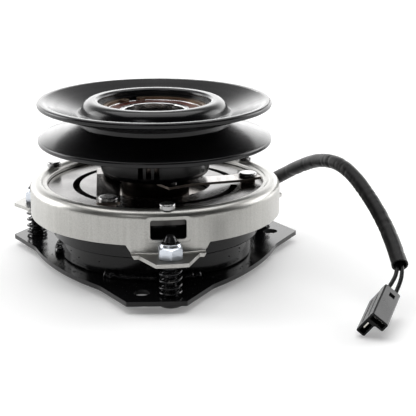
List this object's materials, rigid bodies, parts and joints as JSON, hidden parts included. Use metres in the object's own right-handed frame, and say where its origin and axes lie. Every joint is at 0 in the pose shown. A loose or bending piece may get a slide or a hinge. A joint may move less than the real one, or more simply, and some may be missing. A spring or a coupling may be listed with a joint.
{
  "type": "electromagnetic clutch brake",
  "caption": "Lawn mower blade clutch and brake: V-belt pulley on a bearing over an armature, rotor and coil housing, with a silver brake flange, sprung adjusting bolts and a plug lead.",
  "frame": {"origin": "centre of the crankshaft bore at the hub's engine end, which is level with the bolt heads that the clutch rests on", "axes": "+Z along the shaft from the engine end to the pulley, +X towards the side where the lead leaves, -Y through the front adjusting bolt's lobe"},
  "size_m": [0.2276, 0.2169, 0.1006],
  "materials": {
    "black_enamel": "gloss",
    "weld": "gloss, lumpy",
    "nylon": "satin",
    "copper": "enamelled wire",
    "potting": "matt",
    "bearing_steel": "polished",
    "seal_rubber": "satin",
    "snap_ring": "brown oxide",
    "black_oxide": "black oxide",
    "boot_rubber": "matt",
    "sleeve": "matt vinyl",
    "wire": "satin",
    "connector_plastic": "satin moulded",
    "terminal": "tinned",
    "hub_steel": "turned",
    "friction": "matt",
    "pulley_black": "satin black",
    "spring_steel": "rolled strip",
    "bright_steel": "bright",
    "armature_steel": "phosphated",
    "zinc_flange": "satin zinc",
    "zinc_nut": "bright zinc"
  },
  "bodies": {
    "root": {"mounting_plate": "black_enamel", "field_shell": "black_enamel", "weld_beads": "weld", "coil_bobbin": "nylon", "coil_winding": "copper", "coil_potting": "potting", "field_bearing_outer_ring": "bearing_steel", "field_bearing_balls": "bearing_steel", "field_bearing_seals": "seal_rubber", "field_snap_ring": "snap_ring", "adjusting_bolts": "black_oxide", "adjusting_springs": "black_oxide", "lead_grommet": "boot_rubber", "lead_sleeve": "sleeve", "lead_wire_left": "wire", "lead_wire_right": "wire", "connector_body": "connector_plastic", "connector_terminals": "terminal"},
    "rotor": {"rotor_hub": "hub_steel", "rotor_disc": "black_enamel", "rotor_friction_ring": "friction", "field_bearing_inner_ring": "bearing_steel", "spacer_collar": "hub_steel", "pulley_bearing_inner_ring": "bearing_steel"},
    "pulley": {"upper_sheave": "pulley_black", "lower_sheave": "pulley_black", "pulley_hub": "pulley_black", "pulley_bearing_outer_ring": "bearing_steel", "pulley_bearing_balls": "bearing_steel", "pulley_bearing_seals": "seal_rubber", "pulley_snap_ring": "snap_ring", "leaf_springs": "spring_steel", "hub_rivets": "bright_steel"},
    "armature": {"armature_plate": "armature_steel", "armature_rivets": "bright_steel", "leaf_spacers": "spring_steel"},
    "brake": {"brake_flange": "zinc_flange", "brake_pads": "friction", "brake_rivets": "bright_steel"},
    "nut_front": {"lock_nut_front": "zinc_nut", "nylon_insert_front": "nylon"},
    "nut_right": {"lock_nut_right": "zinc_nut", "nylon_insert_right": "nylon"},
    "nut_left": {"lock_nut_left": "zinc_nut", "nylon_insert_left": "nylon"}
  },
  "joints": [
    {"name": "rotor_spin", "type": "hinge", "parent": "root", "child": "rotor", "pos_m": [0, 0, 0.0152], "axis": [0, 0, 1], "continuous": true},
    {"name": "pulley_spin", "type": "hinge", "parent": "rotor", "child": "pulley", "pos_m": [0, 0, 0.0876], "axis": [0, 0, 1], "continuous": true},
    {"name": "armature_pull", "type": "slide", "parent": "pulley", "child": "armature", "axis": [0, 0, -1], "range_m": [0, 0.00045], "stiffness_N_per_m": 60000, "springref_m": -0.0001, "deforming": ["leaf_springs"]},
    {"name": "brake_lift", "type": "slide", "parent": "root", "child": "brake", "axis": [0, 0, 1], "range_m": [0, 0.00141], "deforming": ["adjusting_springs"]},
    {"name": "nut_front_turn", "type": "hinge", "parent": "brake", "child": "nut_front", "pos_m": [0.00771, -0.08314, 0.02835], "axis": [0, 0, 1], "range_deg": [0, 360]},
    {"name": "nut_right_turn", "type": "hinge", "parent": "brake", "child": "nut_right", "pos_m": [0.06815, 0.04825, 0.02835], "axis": [0, 0, 1], "range_deg": [0, 360]},
    {"name": "nut_left_turn", "type": "hinge", "parent": "brake", "child": "nut_left", "pos_m": [-0.07586, 0.03489, 0.02835], "axis": [0, 0, 1], "range_deg": [0, 360]}
  ],
  "couplings": [
    {"joint": "nut_front_turn", "follows": "brake_lift", "rad_per_m": 4453},
    {"joint": "nut_right_turn", "follows": "brake_lift", "rad_per_m": 4453},
    {"joint": "nut_left_turn", "follows": "brake_lift", "rad_per_m": 4453}
  ]
}
